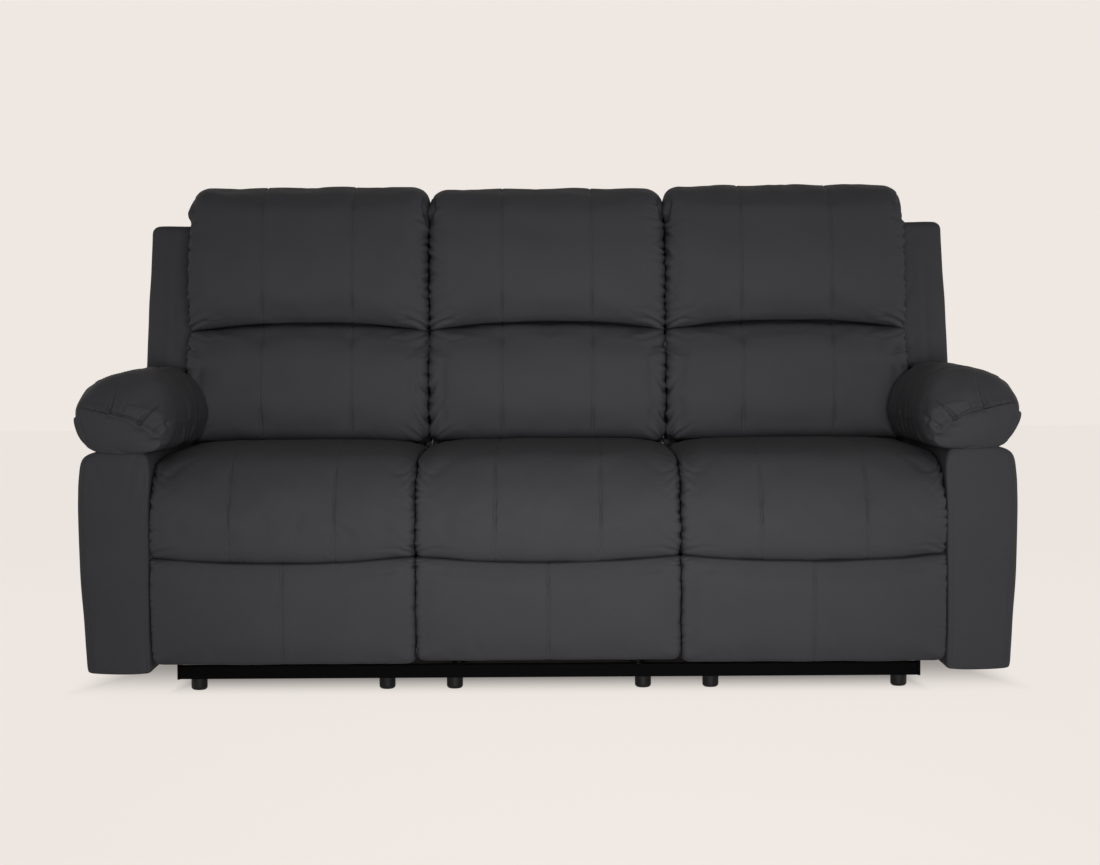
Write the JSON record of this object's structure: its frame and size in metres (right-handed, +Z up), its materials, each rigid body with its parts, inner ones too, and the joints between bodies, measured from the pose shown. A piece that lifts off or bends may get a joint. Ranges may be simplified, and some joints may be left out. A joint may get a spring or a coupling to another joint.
{
  "type": "reclining sofa",
  "caption": "Wide leather-covered reclining sofa with pillow arms and winged backs; each back leans, its seat slides forward and a scissor linkage raises its footrest.",
  "frame": {"origin": "on the floor, under the centre of the sofa's bounding box", "axes": "+X to the right seen from the front, along the sofa's length; -Y is the front, where sitters face; +Z up"},
  "size_m": [1.9064, 0.917, 1.0891],
  "materials": {
    "padded_leather": "matte",
    "cover_leather": "matte",
    "tab_leather": "matte",
    "plywood": "matte",
    "webbing": "matte",
    "black_steel": "satin",
    "black_plastic": "matte",
    "zinc_steel": "satin"
  },
  "bodies": {
    "base": {"glide_feet": "black_plastic", "base_rails": "black_steel", "base_runners": "black_steel", "slide_plates": "zinc_steel", "arm_brackets": "black_steel", "rear_panel": "cover_leather", "handle_cups": "black_plastic", "arm_frame_left": "plywood", "arm_frame_right": "plywood", "arm_cover_left": "cover_leather", "arm_cover_right": "cover_leather", "arm_pad_left": "padded_leather", "arm_pad_right": "padded_leather"},
    "seat_left": {"seat_plates_left": "zinc_steel", "seat_frame_left": "plywood", "seat_webbing_left": "webbing", "seat_cushion_left": "padded_leather"},
    "back_left": {"back_frame_left": "black_steel", "back_shell_left": "cover_leather", "back_cushion_left": "padded_leather", "wing_left": "padded_leather"},
    "drive_links_left": {"drive_links_left": "zinc_steel"},
    "footrest_links_left": {"footrest_links_left": "zinc_steel"},
    "guide_links_left": {"guide_links_left": "zinc_steel"},
    "control_links_left": {"control_links_left": "zinc_steel"},
    "footrest_left": {"footrest_board_left": "plywood", "footrest_pad_left": "padded_leather", "footrest_brackets_left": "zinc_steel"},
    "seat_centre": {"seat_plates_centre": "zinc_steel", "seat_frame_centre": "plywood", "seat_webbing_centre": "webbing", "seat_cushion_centre": "padded_leather"},
    "back_centre": {"back_frame_centre": "black_steel", "back_shell_centre": "cover_leather", "back_cushion_centre": "padded_leather"},
    "drive_links_centre": {"drive_links_centre": "zinc_steel"},
    "footrest_links_centre": {"footrest_links_centre": "zinc_steel"},
    "guide_links_centre": {"guide_links_centre": "zinc_steel"},
    "control_links_centre": {"control_links_centre": "zinc_steel"},
    "footrest_centre": {"footrest_board_centre": "plywood", "footrest_pad_centre": "padded_leather", "footrest_brackets_centre": "zinc_steel"},
    "seat_right": {"seat_plates_right": "zinc_steel", "seat_frame_right": "plywood", "seat_webbing_right": "webbing", "seat_cushion_right": "padded_leather"},
    "back_right": {"back_frame_right": "black_steel", "back_shell_right": "cover_leather", "back_cushion_right": "padded_leather", "wing_right": "padded_leather"},
    "drive_links_right": {"drive_links_right": "zinc_steel"},
    "footrest_links_right": {"footrest_links_right": "zinc_steel"},
    "guide_links_right": {"guide_links_right": "zinc_steel"},
    "control_links_right": {"control_links_right": "zinc_steel"},
    "footrest_right": {"footrest_board_right": "plywood", "footrest_pad_right": "padded_leather", "footrest_brackets_right": "zinc_steel"},
    "release_paddle_left": {"release_paddle_left": "black_plastic"},
    "release_paddle_right": {"release_paddle_right": "black_plastic"},
    "release_tab": {"release_tab_centre": "tab_leather"}
  },
  "joints": [
    {"name": "seat_slide_left", "type": "slide", "parent": "base", "child": "seat_left", "axis": [0, -1, 0], "range_m": [0, 0.04]},
    {"name": "back_recline_left", "type": "hinge", "parent": "seat_left", "child": "back_left", "pos_m": [-0.538, 0.175, 0.395], "axis": [-1, 0, 0], "range_deg": [0, 25]},
    {"name": "footrest_extend_left", "type": "hinge", "parent": "seat_left", "child": "drive_links_left", "pos_m": [-0.538, -0.215, 0.262], "axis": [-1, 0, 0], "range_deg": [0, 139.6]},
    {"name": "footrest_link_turn_left", "type": "hinge", "parent": "drive_links_left", "child": "footrest_links_left", "pos_m": [-0.538, -0.07003, 0.17], "axis": [-1, 0, 0], "range_deg": [-115.2, 0]},
    {"name": "footrest_tilt_left", "type": "hinge", "parent": "footrest_links_left", "child": "footrest_left", "pos_m": [-0.538, -0.38, 0.14], "axis": [-1, 0, 0], "range_deg": [0, 61.6]},
    {"name": "guide_link_turn_left", "type": "hinge", "parent": "seat_left", "child": "guide_links_left", "pos_m": [-0.538, -0.247, 0.279], "axis": [-1, 0, 0], "range_deg": [0, 142.5]},
    {"name": "control_link_turn_left", "type": "hinge", "parent": "drive_links_left", "child": "control_links_left", "pos_m": [-0.538, -0.05145, 0.15181], "axis": [-1, 0, 0], "range_deg": [-115.7, 0]},
    {"name": "seat_slide_centre", "type": "slide", "parent": "base", "child": "seat_centre", "axis": [0, -1, 0], "range_m": [0, 0.04]},
    {"name": "back_recline_centre", "type": "hinge", "parent": "seat_centre", "child": "back_centre", "pos_m": [0, 0.175, 0.395], "axis": [-1, 0, 0], "range_deg": [0, 25]},
    {"name": "footrest_extend_centre", "type": "hinge", "parent": "seat_centre", "child": "drive_links_centre", "pos_m": [0, -0.215, 0.262], "axis": [-1, 0, 0], "range_deg": [0, 139.6]},
    {"name": "footrest_link_turn_centre", "type": "hinge", "parent": "drive_links_centre", "child": "footrest_links_centre", "pos_m": [0, -0.07003, 0.17], "axis": [-1, 0, 0], "range_deg": [-115.2, 0]},
    {"name": "footrest_tilt_centre", "type": "hinge", "parent": "footrest_links_centre", "child": "footrest_centre", "pos_m": [0, -0.38, 0.14], "axis": [-1, 0, 0], "range_deg": [0, 61.6]},
    {"name": "guide_link_turn_centre", "type": "hinge", "parent": "seat_centre", "child": "guide_links_centre", "pos_m": [0, -0.247, 0.279], "axis": [-1, 0, 0], "range_deg": [0, 142.5]},
    {"name": "control_link_turn_centre", "type": "hinge", "parent": "drive_links_centre", "child": "control_links_centre", "pos_m": [0, -0.05145, 0.15181], "axis": [-1, 0, 0], "range_deg": [-115.7, 0]},
    {"name": "seat_slide_right", "type": "slide", "parent": "base", "child": "seat_right", "axis": [0, -1, 0], "range_m": [0, 0.04]},
    {"name": "back_recline_right", "type": "hinge", "parent": "seat_right", "child": "back_right", "pos_m": [0.538, 0.175, 0.395], "axis": [-1, 0, 0], "range_deg": [0, 25]},
    {"name": "footrest_extend_right", "type": "hinge", "parent": "seat_right", "child": "drive_links_right", "pos_m": [0.538, -0.215, 0.262], "axis": [-1, 0, 0], "range_deg": [0, 139.6]},
    {"name": "footrest_link_turn_right", "type": "hinge", "parent": "drive_links_right", "child": "footrest_links_right", "pos_m": [0.538, -0.07003, 0.17], "axis": [-1, 0, 0], "range_deg": [-115.2, 0]},
    {"name": "footrest_tilt_right", "type": "hinge", "parent": "footrest_links_right", "child": "footrest_right", "pos_m": [0.538, -0.38, 0.14], "axis": [-1, 0, 0], "range_deg": [0, 61.6]},
    {"name": "guide_link_turn_right", "type": "hinge", "parent": "seat_right", "child": "guide_links_right", "pos_m": [0.538, -0.247, 0.279], "axis": [-1, 0, 0], "range_deg": [0, 142.5]},
    {"name": "control_link_turn_right", "type": "hinge", "parent": "drive_links_right", "child": "control_links_right", "pos_m": [0.538, -0.05145, 0.15181], "axis": [-1, 0, 0], "range_deg": [-115.7, 0]},
    {"name": "paddle_pull_left", "type": "hinge", "parent": "base", "child": "release_paddle_left", "pos_m": [-0.9392, -0.076, 0.35], "axis": [0, 0, -1], "range_deg": [0, 32], "stiffness_Nm_per_rad": 0.6},
    {"name": "paddle_pull_right", "type": "hinge", "parent": "base", "child": "release_paddle_right", "pos_m": [0.9392, -0.076, 0.35], "axis": [0, 0, 1], "range_deg": [0, 32], "stiffness_Nm_per_rad": 0.6},
    {"name": "tab_pull_centre", "type": "slide", "parent": "seat_centre", "child": "release_tab", "axis": [0, 0, 1], "range_m": [0, 0.012], "stiffness_N_per_m": 400}
  ],
  "couplings": [
    {"joint": "seat_slide_left", "follows": "back_recline_left", "m_per_rad": 0.0916},
    {"joint": "footrest_link_turn_left", "follows": "footrest_extend_left", "ratio": -0.8243},
    {"joint": "footrest_tilt_left", "follows": "footrest_extend_left", "ratio": 0.44034},
    {"joint": "guide_link_turn_left", "follows": "footrest_extend_left", "ratio": 1.0204},
    {"joint": "control_link_turn_left", "follows": "footrest_extend_left", "ratio": -0.82822},
    {"joint": "seat_slide_centre", "follows": "back_recline_centre", "m_per_rad": 0.0916},
    {"joint": "footrest_link_turn_centre", "follows": "footrest_extend_centre", "ratio": -0.8243},
    {"joint": "footrest_tilt_centre", "follows": "footrest_extend_centre", "ratio": 0.44034},
    {"joint": "guide_link_turn_centre", "follows": "footrest_extend_centre", "ratio": 1.0204},
    {"joint": "control_link_turn_centre", "follows": "footrest_extend_centre", "ratio": -0.82822},
    {"joint": "seat_slide_right", "follows": "back_recline_right", "m_per_rad": 0.0916},
    {"joint": "footrest_link_turn_right", "follows": "footrest_extend_right", "ratio": -0.8243},
    {"joint": "footrest_tilt_right", "follows": "footrest_extend_right", "ratio": 0.44034},
    {"joint": "guide_link_turn_right", "follows": "footrest_extend_right", "ratio": 1.0204},
    {"joint": "control_link_turn_right", "follows": "footrest_extend_right", "ratio": -0.82822}
  ]
}
